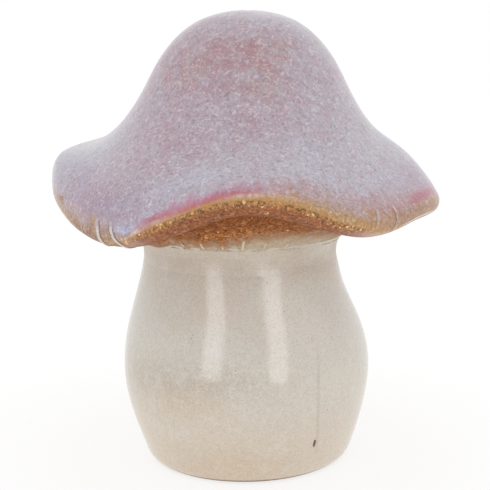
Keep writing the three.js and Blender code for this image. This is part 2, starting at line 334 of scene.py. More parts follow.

# Bearings (start, full, leave, end) of the toasted glaze, darker partly as painted shade, on the two front
# lobes and of the line of painted highlight along the right-hand rim; then the stretch over which the
# toasting sets in on each lobe, how much further up that lies for each degree to the left, and how strong
# it is on the right
LEFT_TOAST_AND_SHADE, RIGHT_TOAST_AND_SHADE, RIM_LINE = (-66, -50, -38, -34), (40, 48, 68, 84), (44, 52, 66, 76)
LEFT_TOAST_AND_SHADE_EDGE, RIGHT_TOAST_AND_SHADE_EDGE = (-5.4, -2.6), (-7.0, -2.0)
TOAST_AND_SHADE_CLIMB, RIGHT_TOAST_AND_SHADE_SHARE = 0.1, 0.5

# Levels over which the lilac turns warmer up the flank and cooler again at the top; then the stretch of
# painted shade behind the lip (start, full, leave, end), how much further in it reaches on the left, and
# the bearings over which it comes to that
WARM_LEVELS, COOL_LEVELS = (100, 122), (138, 148)
DARK_SPAN, DARK_FURTHER, DARK_LEFT = (1, 6, 21, 26), 5, (-10, -24)

# Relief of the cap: unevenness, how far the surface is held in, and how thick the lilac coat stands; then
# where it is held in (widest, highest, underneath the lip) and where the coat ends before the brown
CAP_UNEVEN, CAP_INSET, COAT_STEP = 0.08, 0.26, 0.14
INSET_WIDE, INSET_HIGH, INSET_UNDER = (61.5, 64.0), (146, 149), (4, 10)
COAT_END = (-1.6, 0.4)

# Gills: how sharp they and the pale dashes of painted glint along their crests are, and how far the dashes
# blur at their ends; by how much both are quieter at the flanks of the neck, which start so far from a
# middle bearing and end so far from the front
GILL_SHARPNESS, DASH_SHARPNESS, DASH_BLUR = 1.6, 16, (-2.0, 0.5)
FLANK_QUIET, QUIET_MIDDLE, QUIET_FROM, QUIET_TO = 0.85, -3, (28, 40), (84, 104)


# Cap
def cap_meridians(degrees):
    """Meridians (radius, height) down the outside and up the hollow, and the reach of the lip."""
    out, up, droop, swell, run = through_stations(BRIM_STATIONS, degrees)
    reach, height = BRIM_REACH + BRIM_RAGGED * out, BRIM_LEVEL + WAVE_HEIGHT * up
    droop, swell, run = np.radians(droop), BRIM_SWELL * swell, FLANK_RUN * run
    slope = radians(FLANK_SLOPE)
    flank_way = np.array([sin(slope), -cos(slope)])
    flank = np.array([FLANK_RADIUS, flank_level])
    lip = np.stack([reach, height], -1)
    lip_way = np.stack([np.cos(droop), -np.sin(droop)], -1)
    inward = np.stack([-np.sin(droop), -np.cos(droop)], -1)
    crown = bend([0, CAP_TOP], [CROWN_SPREAD, 0], flank, CROWN_TURN * flank_way, CROWN_STEPS)
    upper = bend(flank, run[:, None] * flank_way, lip, swell[:, None] * lip_way, UPPER_STEPS)
    angle = np.linspace(0, pi, ROLL_STEPS + 1)[None, :, None]
    roll_way = lip_way[:, None] * np.sin(angle) + inward[:, None] * (1 - np.cos(angle))
    roll = lip[:, None] + LIP_THICKNESS / 2 * roll_way
    under_lip = lip + LIP_THICKNESS * inward
    hollow = (under_lip[:, :1] - land_edge[0]) / 3
    under = bend(under_lip, -hollow * lip_way, land_edge, -hollow * land_direction, UNDER_STEPS)
    towards_neck = (socket_edge - land_edge) / 3
    land = bend(land_edge, towards_neck, socket_edge, towards_neck, LAND_STEPS)
    socket = np.array([[socket_edge, [socket_radius, socket_roof]]])
    bore, inside_top = [neck_bore, socket_roof], [0, CAP_TOP - CAP_WALL]
    inside_flank = flank + CAP_WALL * np.array([flank_way[1], -flank_way[0]])
    cavity = bend(bore, [0, 3 * CAP_WALL], inside_flank, -CAVITY_RUN * flank_way, CAVITY_STEPS)
    inside_spread = [CAP_WALL / 2 - CROWN_SPREAD, 0]
    dome = bend(inside_flank, -CROWN_TURN * flank_way, inside_top, inside_spread, CAVITY_STEPS)
    outside = chain(CAP_COLUMNS, crown, upper, roll, under, land, socket)
    return np.concatenate([outside, chain(CAP_COLUMNS, cavity, dome)], axis=1), reach


def gill_pattern(turn, degree, radius, underneath):
    """Height of the gills, uneven and dying away outwards, and the pale dashes of painted glint along their
    crests.
    """
    crest = 0.5 + 0.5 * np.cos(GILL_COUNT * (turn - radians(GILL_TURN)) + waves(GILL_WANDER, turn))
    grow = smoothstep(radius, socket_radius - 0.5, bead_edge[0])
    fade = 1 - smoothstep(radius, land_edge[0], land_edge[0] + GILL_FADE)
    flanks = smoothstep(np.abs(turn_from(degree, QUIET_MIDDLE)), *QUIET_FROM)
    flanks = flanks * (1 - smoothstep(np.abs(turn_from(degree)), *QUIET_TO))
    shown = grow * underneath * (1 - FLANK_QUIET * flanks)
    ridge = crest**GILL_SHARPNESS * (0.8 + waves(GILL_SIZES, turn)) * fade * shown
    near_neck = 1 - smoothstep(radius - land_edge[0] - waves(DASH_ENDS, turn), *DASH_BLUR)
    strength = 0.85 + waves(DASH_STRENGTHS, turn)
    return ridge, crest**DASH_SHARPNESS * near_neck * strength * shown


def drip_pattern(along, degree, radius):
    """Relief of the drips, how many widths aside the nearest one is, and how strongly it shows."""
    relief, strength = np.zeros_like(along), np.zeros_like(along)
    nearest = np.full_like(along, NO_DRIP)
    for at, begin, end, drift, width, tall in DRIPS:
        share = np.clip((along - begin) / (end - begin), 0, 1)
        aside = np.radians(turn_from(degree, at + drift * share**DRIP_CURVE)) * radius / width
        ends = plateau(along, begin, begin + DRIP_RISE, end + DRIP_TIP[0], end + DRIP_TIP[1])
        relief = relief + tall * np.exp(-(aside**2)) * ends
        closer = np.abs(aside) < np.abs(nearest)
        nearest = np.where(closer, aside, nearest)
        strength = np.where(closer, ends * min(1.0, tall / DRIP_FULL), strength)
    return relief, nearest, strength


def toasting(degree, along):
    """Where the lips of the two front lobes are toasted brown, the brown partly a painted shade."""
    signed = turn_from(degree)
    climb = TOAST_AND_SHADE_CLIMB * np.maximum(LEFT_TOAST_AND_SHADE[2] - signed, 0)
    left = plateau(signed, *LEFT_TOAST_AND_SHADE) * smoothstep(along + climb, *LEFT_TOAST_AND_SHADE_EDGE)
    left = left * (1 - patchwork(TOAST_AND_SHADE_GAPS, degree, along))
    right = plateau(signed, *RIGHT_TOAST_AND_SHADE) * smoothstep(along, *RIGHT_TOAST_AND_SHADE_EDGE)
    return left + RIGHT_TOAST_AND_SHADE_SHARE * right + patchwork(TOAST_AND_SHADE_TONGUES, degree, along)


def cap_marks(turn, degree, along, level, past):
    """The marks in the glaze, as values for each point."""
    signed = turn_from(degree)
    around = np.broadcast_to(turn, along.shape)
    # A pale blue haze, partly painted sheen
    haze_and_sheen = patchwork(HIGH_HAZE_AND_SHEEN, degree, level) + patchwork(LOW_HAZE_AND_SHEEN, degree, along)
    # Cooler to the right, low down and at the top
    cool = 0.5 + 0.45 * np.sin(turn) - 0.5 * smoothstep(level, *WARM_LEVELS)
    cool = cool + 0.6 * smoothstep(level, *COOL_LEVELS)
    start, full, leave, end = DARK_SPAN
    further = DARK_FURTHER * smoothstep(signed, *DARK_LEFT)
    return {
        "flow": np.stack([BRIM_REACH * np.cos(around), BRIM_REACH * np.sin(around), along], -1),
        "rose": patchwork(ROSE_PATCHES, degree, level),
        "haze_and_sheen": np.clip(haze_and_sheen, 0, 1),
        "cool": cool,
        "streak": patchwork(RED_STREAKS, degree, along),
        "pool": patchwork(BLUE_POOLS, degree, along),
        # Pale lines, partly a painted highlight
        "pale_and_highlight": patchwork(PALE_AND_HIGHLIGHT_LINES, degree, past),
        # Painted shade on the lobes
        "shade": patchwork(MAUVE_PAINTED_SHADE_PATCHES, degree, along, most=2.0),
        "burn": patchwork(BURNT_SPOTS, degree, along),
        "fair": patchwork(FAIR_BANDS, degree, along),
        # Toasted brown, partly painted shade
        "toast": toasting(degree, along),
        # Where the painted highlight runs along the rim
        "rim_line": plateau(signed, *RIM_LINE),
        # Painted shade behind the lip
        "behind": plateau(along, start, full, leave + further, end + further),
    }


def build_cap():
    degrees = np.arange(CAP_COLUMNS) * 360.0 / CAP_COLUMNS
    bearing = np.radians(degrees)
    meridian, reach = cap_meridians(degrees)
    step = np.linalg.norm(np.diff(meridian, axis=1), axis=-1)
    length = np.concatenate([np.zeros((CAP_COLUMNS, 1)), np.cumsum(step, 1)], 1)
    along = length - length[:, tip_row:tip_row + 1]
    radius, level = meridian[..., 0], meridian[..., 1]
    row = np.arange(meridian.shape[1])[None, :]
    turn = bearing[:, None]
    degree = np.broadcast_to(degrees[:, None], along.shape)
    outside = row <= land_end
    underneath = (row > roll_end) & outside
    ridge, painted_glint = gill_pattern(turn, degree, radius, underneath)
    ridged = meridian.copy()
    ridged[..., 1] -= GILL_DEPTH * ridge

    # The socket follows the neck, and the hollow inside comes back under the crown
    shift_under = NECK_LEAN * (1 - smoothstep(radius, socket_radius, reach[:, None]))
    shift_inside = NECK_LEAN * (1 - smoothstep(level, socket_roof, flank_level))
    shift = np.where(row <= roll_end, 0, np.where(row <= land_end + 1, shift_under, shift_inside))
    points = swept(ridged, bearing, shift)
    normal = grid_normals(points, loop=False)
    normal[:, 0] = (0, 0, 1)

    # Where the glaze thins, where the brown starts, and where the brown gives way to cream
    edges = through_stations(GLAZE_EDGE, degrees)
    start, full, edge, rosy, cream_reach = (value[:, None] for value in edges)
    past = along - edge
    centre = np.hypot(points[..., 0] - NECK_LEAN, points[..., 1])
    cream = np.where(underneath, cream_reach - (centre - socket_radius), NO_CREAM)

    # Relief: hand-finished unevenness that keeps within the solids, the coat that ends at the brown, drips
    wide = np.maximum(np.abs(points[..., 0]), np.abs(points[..., 1]))
    inset = np.maximum(smoothstep(wide, *INSET_WIDE), smoothstep(level, *INSET_HIGH))
    inset = np.maximum(inset, smoothstep(along, *INSET_UNDER))
    drip_relief, drip_aside, drip = drip_pattern(along, degree, radius)
    relief = CAP_UNEVEN * (waves(CAP_WAVES, turn, along) - 1) - CAP_INSET * inset
    relief = relief + COAT_STEP * (1 - smoothstep(past, *COAT_END)) + drip_relief
    points = points + normal * (relief * outside)[..., None]
    return swept_mesh("toadstool_cap", points, False, {
        "along": along,
        "tint": np.clip((along - start) / (full - start), *TINT_LIMITS),
        "past": past,
        "rosy": np.broadcast_to(np.clip(rosy, 0, 1), along.shape),
        "cream": cream,
        # Painted glints along the gills' crests
        "painted_glint": painted_glint,
        "drip": drip,
        "drip_aside": drip_aside,
        **cap_marks(turn, degree, along, level, past),
    })


# Stem: how gently its wall curves between bulb and neck, as a share of that height; its bevels; how far
# inside its edge the foot ring's face is divided; unevenness, how far the surface is held in, and the
# levels over which both set in
WAIST_SHARE = 0.42
RIM_BEVEL, VENT_BEVEL, RECESS_BEVEL = 0.3, 0.4, 0.5
RING_FACE_EDGE = 1.0
STEM_UNEVEN, STEM_INSET, UNEVEN_LEVELS = 0.05, 0.1, (0.5, 6)

# Slight swellings of the neck, tones of the glaze (among them painted shade on the neck under the brim and
# a painted highlight on the fillet at the right) and the two streaks of light: bearing, height, width in
# degrees, height of the patch and weight
NECK_SWELLINGS = [(37, 69, 17, 8, 0.7), (82, 66, 20, 5, 0.4), (-80, 59, 22, 8, 0.33)]
# Darker patches: a band across the bulb, and painted shade on the neck under the brim
DUSKY_AND_SHADE_PATCHES = [
    (-40, 33, 20, 6, 1), (-12, 35, 22, 6, 0.75), (-68, 34, 16, 8, 0.5), (6, 68, 60, 4, 0.45),
    (45, 69, 16, 4, 0.45), (34, 75.6, 9, 1.6, 0.8), (110, 30, 26, 8, 0.7), (170, 36, 30, 7, 0.8),
    (232, 31, 28, 8, 0.7),
]
# Paler patches; the one high at the right is a painted highlight on the fillet
PALE_AND_HIGHLIGHT_PATCHES = [
    (22, 56, 14, 8, 1), (-6, 56, 12, 6, 0.7), (36, 51, 12, 8, 0.7), (68, 50, 12, 10, 0.6),
    (58, 74.2, 14, 2.5, 1), (150, 54, 26, 9, 0.8), (215, 52, 26, 8, 0.7),
]
WARM_PATCHES = [
    (-14, 5, 26, 7, 1), (-28, 27, 20, 6, 0.7), (8, 8, 18, 6, 0.6), (130, 8, 40, 8, 0.8),
    (230, 10, 40, 9, 0.8),
]
LIGHT_STREAKS = [(-13, 69.5, 13, 40, 1.6), (17, 69.5, 13, 40, 1.6)]

# Levels over which the cream turns dull towards the joint, and those where the streaks of light end; and
# how far from the front it turns dull at the back
DULL_LEVELS, STREAK_ENDS, DULL_BACK = (62, 76), (68.5, 70.5), (92, 108)

# Iron specks in the stem's glaze: bearing, height, size; and how dark they are beside the pin-hole
IRON_SPECKS = [
    (21.3, 56, 0.35), (-24, 49, 0.3), (38, 24, 0.35), (-38, 17, 0.3), (7, 21, 0.25), (-9, 62, 0.25),
    (96, 44, 0.4), (150, 40, 0.4), (176, 58, 0.3), (205, 20, 0.4), (236, 36, 0.35), (265, 55, 0.35),
]
SPECK_DARKNESS = 0.8

# A mould seam up the front, a pin-hole near the foot and the edge of the glaze above the bare foot; places
# are distances to the right of the axis, and the seam's span is in levels (start, full, leave, end)
SEAM_PLACE, SEAM_WIDTH, SEAM_HEIGHT, SEAM_SPAN = 22.6, 0.42, 0.08, (5, 12, 36, 50)
PIT_PLACE, PIT_LEVEL, PIT_SLANT = 21.8, 12.6, 0.15
PIT_WIDTH, PIT_LENGTH, PIT_DEPTH = 0.42, 1.5, 0.35
BARE_LEVEL, BARE_WAVE, BARE_BLUR = 0.85, 0.35, 0.3


def stem_profile():
    """The closed profile (radius, height): through the floor, up the inside and down the outside."""
    flare = radians(FOOT_FLARE)
    lean = np.array([sin(flare), cos(flare)])
    corner = np.array([FOOT_RADIUS + FOOT_ROUND, FOOT_ROUND])
    bulb, neck = np.array([BULB_RADIUS, BULB_HEIGHT]), np.array([NECK_RADIUS, NECK_LEVEL])
    low, waist = BULB_HEIGHT - FOOT_ROUND, WAIST_SHARE * (NECK_LEVEL - BULB_HEIGHT)
    floor_level = FOOT_RECESS + FLOOR_THICKNESS
    outer = chain(
        1,
        bend([FOOT_RADIUS, 0], [FOOT_ROUND / 2, 0], corner, FOOT_ROUND / 2 * lean, FOOT_STEPS),
        bend(corner, low / 3 * lean, bulb, [0, low / 3], BULB_STEPS),
        bend(bulb, [0, waist], neck, [0, waist], NECK_STEPS),
    )[0]
    inner_bulb = np.array([BULB_RADIUS - STEM_WALL, BULB_HEIGHT])
    inner_corner = np.array([FOOT_RADIUS - STEM_WALL / 2, floor_level])
    sinking = [0, (floor_level - BULB_HEIGHT) / 2]
    inner = chain(
        1,
        bend([neck_bore, NECK_LEVEL], [0, -waist], inner_bulb, [0, -waist], BORE_STEPS),
        bend(inner_bulb, sinking, inner_corner, [-STEM_WALL, -STEM_WALL], BORE_STEPS),
    )[0]
    ring_inside = FOOT_RADIUS - FOOT_RING_WIDTH
    floor = [
        [VENT_RADIUS, floor_level],
        [VENT_RADIUS, FOOT_RECESS + VENT_BEVEL], [VENT_RADIUS + VENT_BEVEL, FOOT_RECESS],
        [ring_inside - RECESS_BEVEL, FOOT_RECESS], [ring_inside, FOOT_RECESS - RECESS_BEVEL],
        [ring_inside, RIM_BEVEL], [ring_inside + RIM_BEVEL, 0],
        [FOOT_RADIUS - RING_FACE_EDGE, 0],
    ]
    rim = [[NECK_RADIUS, NECK_RIM - RIM_BEVEL], [NECK_RADIUS - RIM_BEVEL, NECK_RIM], [neck_bore, NECK_RIM]]
    return np.concatenate([outer, rim, inner, floor])[::-1]


def stem_relief(turn, level):
    """Hand-finished unevenness of the stem, with the swellings of the neck."""
    uneven = STEM_UNEVEN * waves(STEM_WAVES, turn, level) - STEM_INSET
    return uneven * smoothstep(level, *UNEVEN_LEVELS) + patchwork(NECK_SWELLINGS, np.degrees(turn), level)


def cream_tones(degree, level):
    """Tones of the cream glaze on stem and slip, among them painted shade on the neck under the brim and a
    painted highlight on the fillet at the right. It is dull towards the joint, where the two streaks of
    light end sharply, and at the back."""
    soft, sharp = smoothstep(level, *DULL_LEVELS), smoothstep(level, *STREAK_ENDS)
    dull = soft + (sharp - soft) * patchwork(LIGHT_STREAKS, degree, level)
    back = smoothstep(np.abs(turn_from(degree)), *DULL_BACK)
    return {
        "level": level,
        # Darker patches, with painted shade on the neck under the brim
        "dusky_and_shade": patchwork(DUSKY_AND_SHADE_PATCHES, degree, level),
        # Paler patches, one a painted highlight on the fillet
        "pale_and_highlight": patchwork(PALE_AND_HIGHLIGHT_PATCHES, degree, level),
        "warm": patchwork(WARM_PATCHES, degree, level),
        "dull": np.maximum(dull, back),
    }


def build_stem():
    meridian, bearing, degree = turned(stem_profile(), STEM_COLUMNS)
    radius, level = meridian[..., 0].copy(), meridian[..., 1]
    turn = bearing[:, None]
    at_neck = smoothstep(level, BULB_HEIGHT, NECK_LEVEL)
    at_foot = 1 - smoothstep(level, 0, BULB_HEIGHT)
    oval = FOOT_OVAL / FOOT_RADIUS * np.cos(2 * (turn - radians(FOOT_OVAL_BEARING)))
    meridian[..., 0] = radius * (1 + at_foot * oval)
    settled = FOOT_SETTLE * (1 - smoothstep(level, 0, SETTLE_TOP))
    points = swept(meridian, bearing, at_neck * NECK_LEAN + at_foot * FOOT_LEAN + settled)
    normal = grid_normals(points, loop=True)
    rows = meridian.shape[1]
    outside = np.arange(rows) >= rows - outer_rows

    # The seam, the slanting pin-hole beside it and the iron specks
    front = (points[..., 1] < 0) & outside
    seam_aside = points[..., 0] - SEAM_PLACE
    seam = np.exp(-((seam_aside / SEAM_WIDTH) ** 2)) * plateau(level, *SEAM_SPAN) * front
    pit_up = level - PIT_LEVEL
    pit_aside = points[..., 0] - PIT_PLACE - PIT_SLANT * pit_up
    pit = np.exp(-((pit_aside / PIT_WIDTH) ** 2) - (pit_up / PIT_LENGTH) ** 4) * front
    fleck = np.zeros_like(level)
    for at, height, size in IRON_SPECKS:
        off = np.radians(turn_from(degree, at)) * radius
        fleck = np.maximum(fleck, np.exp(-((off / size) ** 2) - ((level - height) / size) ** 2) * outside)
    relief = stem_relief(turn, level) + SEAM_HEIGHT * seam - PIT_DEPTH * pit
    points = points + normal * (relief * outside)[..., None]
    line = BARE_LEVEL + BARE_WAVE * np.cos(2 * turn)
    glazed = smoothstep(level, line - BARE_BLUR, line + BARE_BLUR)
    return swept_mesh("toadstool_stem", points, True, {
        "seam": seam,
        "pit": np.maximum(pit, SPECK_DARKNESS * fleck),
        "bare": np.where(outside, 1 - glazed, 1.0),
        **cream_tones(degree, level),
    })


# Luting slip: unevenness of its bead; the shares of the fillet where the bead ends and over which the tail
# takes on the stem's relief; how far above the joint its outer side ends; how strongly the fillet's curve
# leaves the cap and meets the neck; the levels over which the cap's brown runs onto it at the left front,
# how much higher they lie elsewhere, and the bearings of that front stretch (start, full, leave, end)
SLIP_UNEVEN, BEAD_END, TAIL_START = 0.12, 0.6, (0.05, 0.55)
SLIP_SHOULDER = 1.0
FILLET_LEAVING, FILLET_ARRIVING = 0.9, 0.55
STAIN_LEVELS, STAIN_LIFT, STAIN_SPAN = (73.7, 74.5), 3.0, (250, 280, 306, 332)


def slip_profile():
    """The closed profile (radius, height), and the row where the fillet that shows begins. The fillet's
    two edges are drawn out thin and sink into the cap and the neck."""
    above_land = np.array([-land_direction[1], land_direction[0]])
    on_land = socket_edge + FILLET_OUT * land_direction + FILLET_SINK * above_land
    outer = stem_profile()[-outer_rows:][::-1]
    tail = joint_level - FILLET_DOWN
    on_neck, above = (np.array([np.interp(z, outer[:, 1], outer[:, 0]), z]) for z in (tail, tail + 1))
    arriving = FILLET_ARRIVING * FILLET_DOWN * (on_neck - above)
    on_neck[0] -= FILLET_SINK / 4
    leaving = -FILLET_LEAVING * FILLET_OUT * land_direction
    fillet = bend(on_land, leaving, on_neck, arriving, FILLET_STEPS)[0]
    neck_side, socket_side = NECK_RADIUS + SLIP_GAP, socket_radius - SLIP_GAP
    bore_side, roof, floor = neck_bore + SLIP_GAP, socket_roof - SLIP_GAP, NECK_RIM + SLIP_GAP
    inner = [[bore_side, roof], [socket_side, roof], [socket_side, joint_level + SLIP_SHOULDER]]
    back = [[neck_side, joint_level], [neck_side, floor], [bore_side, floor]]
    return np.concatenate([inner, fillet, back]), len(inner)


def build_slip():
    profile, first_row = slip_profile()
    meridian, bearing, degree = turned(profile, SLIP_COLUMNS)
    level = meridian[..., 1]
    points = swept(meridian, bearing, NECK_LEAN * smoothstep(level, BULB_HEIGHT, NECK_LEVEL))
    normal = grid_normals(points, loop=True)
    turn = bearing[:, None]
    # Share of the way down the fillet: the bead is uneven, and the tail takes on the stem's relief
    share = (np.arange(len(profile))[None, :] - first_row) / FILLET_STEPS
    bead = np.clip(4 * np.minimum(share, BEAD_END - share), 0, 1)
    tail = smoothstep(share, *TAIL_START) * (share <= 1)
    relief = SLIP_UNEVEN * waves(SLIP_WAVES, turn) * bead + stem_relief(turn, level) * tail
    points = points + normal * relief[..., None]
    lift = STAIN_LIFT * (1 - plateau(degree, *STAIN_SPAN))
    return swept_mesh("toadstool_slip", points, True, {
        "stain": smoothstep(level - lift, *STAIN_LEVELS) * (share <= 1),
        **cream_tones(degree, level),
    })


# Materials
def colour(red, green, blue):
    """A linear colour from the eight-bit values seen on screen."""
    def linear(value):
        value = value / 255
        return value / 12.92 if value <= 0.04045 else ((value + 0.055) / 1.055) ** 2.4
    return linear(red), linear(green), linear(blue), 1.0


class Value:
    """A node's output that can be added, taken away and multiplied."""

    def __init__(self, glaze, socket):
        self.glaze, self.socket = glaze, socket

    def __add__(self, other):
        return self.glaze.math("ADD", self, other)

    def __sub__(self, other):
        return self.glaze.math("SUBTRACT", self, other)

    def __rsub__(self, other):
        return self.glaze.math("SUBTRACT", other, self)

    def __mul__(self, other):
        return self.glaze.math("MULTIPLY", self, other)


class Glaze:
    """A material with short calls for the nodes that the glazes use."""

    def __init__(self, name, ior):
        self.material = bpy.data.materials.new(name)
        self.material.use_nodes = True
        self.tree = self.material.node_tree
        self.shader = self.tree.nodes["Principled BSDF"]
        self.shader.inputs["IOR"].default_value = ior

    def put(self, socket, value):
        """Links a node's output to a socket, or sets a plain number or colour there."""
        if isinstance(value, Value):
            self.tree.links.new(value.socket, socket)
        else:
            socket.default_value = value

    def node(self, kind, inputs, **settings):
        made = self.tree.nodes.new("ShaderNode" + kind)
        for key, value in settings.items():
            setattr(made, key, value)
        for key, value in inputs.items():
            self.put(made.inputs[key], value)
        return made

    def value(self, kind, inputs, output, **settings):
        return Value(self, self.node(kind, inputs, **settings).outputs[output])

    def read(self, name, output="Fac"):
        """A value that the mesh holds for each point."""
        return self.value("Attribute", {}, output, attribute_name=name)

    def place(self):
        return self.value("TexCoord", {}, "Object")

    def stretch(self, vector, factors):
        return self.value("VectorMath", {0: vector, 1: factors}, 0, operation="MULTIPLY")

    def noise(self, vector, scale, detail, rough, twist=0.0):
        inputs = {"Vector": vector, "Scale": scale, "Detail": detail}
        inputs.update({"Roughness": rough, "Distortion": twist})
        return self.value("TexNoise", inputs, "Fac")

    def warp(self, vector, scale, amount):
        """The place moved about by noise, by up to the amount."""
        drift = self.value("TexNoise", {"Vector": vector, "Scale": scale, "Detail": 1.0}, "Color")
        inputs = {0: drift, 1: (amount, amount, amount), 2: vector}
        return self.value("VectorMath", inputs, 0, operation="MULTIPLY_ADD")

    def specks(self, vector, scale, size, rarity):
        """1 inside round specks, one to a cell, in the cells whose chance is above rarity."""
        cells = self.node("TexVoronoi", {"Vector": vector, "Scale": scale})
        chance = self.value("SeparateColor", {0: Value(self, cells.outputs["Color"])}, "Red")
        inside = self.between(Value(self, cells.outputs["Distance"]), size, size * 0.6)
        return inside * self.math("GREATER_THAN", chance, rarity)

    def math(self, operation, *values):
        return self.value("Math", dict(enumerate(values)), 0, operation=operation)

    def swing(self, noise, amount):
        """Noise made to swing about zero, by up to half the amount each way."""
        return (noise - 0.5) * amount

    def between(self, value, low, high):
        """0 at low, 1 at high, smooth between."""
        inputs = {"Value": value, "From Min": low, "From Max": high}
        return self.value("MapRange", inputs, "Result", interpolation_type="SMOOTHSTEP")

    def band(self, value, start, full, leave, end):
        """1 from full to leave, 0 before start and after end, smooth between."""
        return self.between(value, start, full) * self.between(value, end, leave)

    def mix(self, share, first, second):
        inputs = {"Factor": share, 6: first, 7: second}
        return self.value("Mix", inputs, 2, data_type="RGBA")

    def veil(self, under, over, share, value, low, high):
        """One colour over another, up to a share, where a value goes from low to high."""
        return self.mix(self.between(value, low, high) * share, under, over)

    def finish(self, base, roughness, height, distance, strength):
        """The material with its colour, its roughness and a fine bump (distance in metres)."""
        inputs = {"Strength": strength, "Distance": distance, "Height": height}
        self.put(self.shader.inputs["Base Color"], base)
        self.put(self.shader.inputs["Roughness"], roughness)
        self.put(self.shader.inputs["Normal"], self.value("Bump", inputs, "Normal"))
        return self.material


# Colours and layers of the cap's glaze; two colours in one name are the ends of a mix
LILACS = colour(173, 157, 167), colour(180, 173, 183)
LILAC_PINK = colour(180, 152, 163)
LILAC_BLUE = colour(182, 177, 189)
WORN = colour(168, 126, 132), colour(172, 140, 134)
WORN_GRAIN = colour(160, 100, 108)
# Pale blue haze, partly painted sheen
HAZE_AND_SHEEN = colour(182, 184, 197)
# Mauves of the painted shade on the lobes
MAUVE_PAINTED_SHADES = colour(162, 138, 157), colour(160, 146, 170)
POOL_BLUE = colour(182, 188, 214)
THINNED = colour(174, 149, 151), colour(181, 142, 163)
OCHRES = colour(171, 137, 104), colour(184, 114, 106)
REDS = colour(166, 78, 104), colour(182, 92, 92)
# Toasted brown, partly painted shade
TOAST_AND_SHADE = colour(146, 96, 52)
AMBER = colour(181, 137, 80)
# Pale glaze edge, partly a painted highlight
PALE_AND_HIGHLIGHT_LINE = colour(214, 196, 190)
BURNT = colour(150, 108, 84)
LIGHT_GRAIN = colour(232, 228, 234)
DARK_GRAIN = colour(96, 76, 86)
RIM_DARK = colour(104, 74, 50)
# Painted highlight along the right-hand rim
RIM_HIGHLIGHT = colour(232, 222, 212)
BROWNS = colour(146, 83, 42), colour(150, 76, 12)
WARM_BROWN = colour(172, 106, 52)
GOLD_BROWN = colour(184, 136, 80)
DEEP_BROWN = colour(76, 34, 8)
SHADED_BROWN = colour(106, 52, 16)
EDGE_BROWN = colour(100, 52, 10)
ORANGE_GRAIN = colour(200, 126, 60)
PEACH_GRAIN = colour(224, 156, 104)
SMALL_SPECK = colour(214, 160, 106)
LARGE_SPECK = colour(236, 190, 132)
FAIR = colour(206, 176, 164)
UNDER_TONES = colour(166, 124, 90), colour(192, 176, 152)
UNDER_LIGHT = colour(204, 190, 166)
UNDER_GRAIN = colour(140, 108, 76)
# Painted glints on the gills' crests
GILL_GLINT = colour(230, 216, 192)
# Drip crests, partly pooled glaze and partly painted highlight, and the painted shadow beside them
DRIP_CRESTS_AND_HIGHLIGHTS = colour(180, 174, 194), colour(228, 221, 222)
DRIP_SHADOW_LINE = colour(88, 66, 56)


def cap_noise(g):
    """The noises and mesh values that several parts of the cap's glaze use."""
    place = g.place()
    downwards = g.stretch(g.read("flow", "Vector"), (1.0, 1.0, 0.2))
    n = SimpleNamespace(place=place, past=g.read("past"), rosy=g.read("rosy"), pool=g.read("pool"))
    n.fine = g.noise(place, 1150, 4, 0.65, 0.5)
    n.worm = g.noise(place, 560, 3, 0.6, 1.6)
    n.clump = g.noise(place, 230, 3, 0.6, 0.5)
    n.patch = g.noise(place, 105, 2, 0.5, 0.6)
    n.cloud = g.noise(place, 55, 3, 0.55, 0.3)
    n.run = g.noise(downwards, 0.8, 3, 0.6, 0.4)
    n.tongue = g.noise(downwards, 0.42, 2, 0.5, 0.3)
    n.grain = n.fine * 0.5 + n.worm * 0.5
    n.aside, n.drip = g.read("drip_aside"), g.read("drip")
    # Toasted brown, partly painted shade
    n.toast = g.read("toast") * g.between(n.run, 0.2, 0.5)
    return n


def lilac_ground(g, n):
    """Lilac, cooler to the right and low down, rose and tan where it is worn thin, with a pale haze that is
    partly painted sheen and a mauve painted shade on the lobes.
    """
    cool = g.read("cool") + g.swing(n.cloud, 1.2)
    body = g.mix(g.between(cool, 0.0, 0.9), *LILACS)
    body = g.veil(body, LILAC_PINK, 0.5, n.clump, 0.48, 0.7)
    body = g.veil(body, LILAC_BLUE, 0.5, n.clump, 0.5, 0.3)
    thin = g.between(n.clump * 0.55 + n.worm * 0.45 + g.swing(n.fine, 0.6), 0.28, 0.68)
    worn = g.mix(g.between(n.cloud, 0.46, 0.62), *WORN)
    worn = g.veil(worn, WORN_GRAIN, 0.7, n.grain, 0.54, 0.44)
    body = g.mix(g.read("rose") * thin * 0.88, body, worn)
    # A pale blue haze, partly painted sheen
    body = g.mix(g.read("haze_and_sheen") * 0.6, body, HAZE_AND_SHEEN)
    # Painted shade in mauve on the lobes
    mauve_shade = g.mix(g.between(n.patch, 0.46, 0.62), *MAUVE_PAINTED_SHADES)
    body = g.mix(g.read("shade") * 0.7, body, mauve_shade)
    return g.mix(n.pool * 0.9, body, POOL_BLUE)


